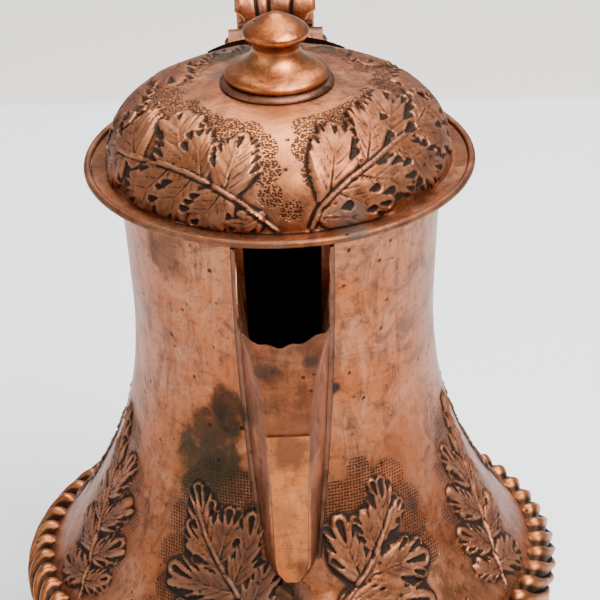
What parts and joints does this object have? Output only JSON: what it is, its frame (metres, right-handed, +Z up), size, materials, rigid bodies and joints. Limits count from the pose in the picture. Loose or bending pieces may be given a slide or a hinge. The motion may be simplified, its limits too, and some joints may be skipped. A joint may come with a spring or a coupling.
{
  "type": "copper jug",
  "caption": "Hand-raised copper jug with a flared neck, beak spout, gadrooned shoulder, domed hinged lid with a turned knob and a strap handle.",
  "frame": {"origin": "centre of the underside of the base, on the vessel's axis", "axes": "+Z up the vessel's axis, -Y towards the spout, +Y towards the hinge and handle, +X to the right seen from the spout"},
  "size_m": [0.188, 0.218, 0.285],
  "materials": {
    "copper": "hand-raised copper, satin, worn and stained",
    "bright_copper": "copper rubbed bright by handling",
    "dark_copper": "copper with dark patina",
    "tin": "wiped tin lining, dull grey"
  },
  "bodies": {
    "jug": {"base_plate": "copper", "foot_ring": "copper", "belly_shell": "copper", "gadroon_band": "bright_copper", "neck_shell": "copper", "rim_wire": "copper", "spout_shell": "copper", "spout_front_strip": "bright_copper", "spout_seams": "dark_copper", "spout_foot_scroll": "dark_copper", "hinge_bracket": "dark_copper", "bracket_rivets": "dark_copper", "hinge_pin": "dark_copper", "handle_strap": "copper", "handle_liner": "copper", "handle_upper_rivets": "dark_copper", "handle_lower_leaf": "copper", "handle_lower_rivets": "dark_copper"},
    "lid": {"lid_dome": "copper", "lid_rim_wire": "copper", "lid_bezel": "tin", "hinge_arm": "dark_copper", "hinge_arm_rivets": "dark_copper", "hinge_leaf": "copper", "knob_boss": "copper", "knob": "bright_copper", "knob_washer": "tin", "knob_stud": "dark_copper"}
  },
  "joints": [
    {"name": "lid_hinge", "type": "hinge", "parent": "jug", "child": "lid", "pos_m": [0, 0.066, 0.246], "axis": [-1, 0, 0], "range_deg": [0, 85]}
  ]
}
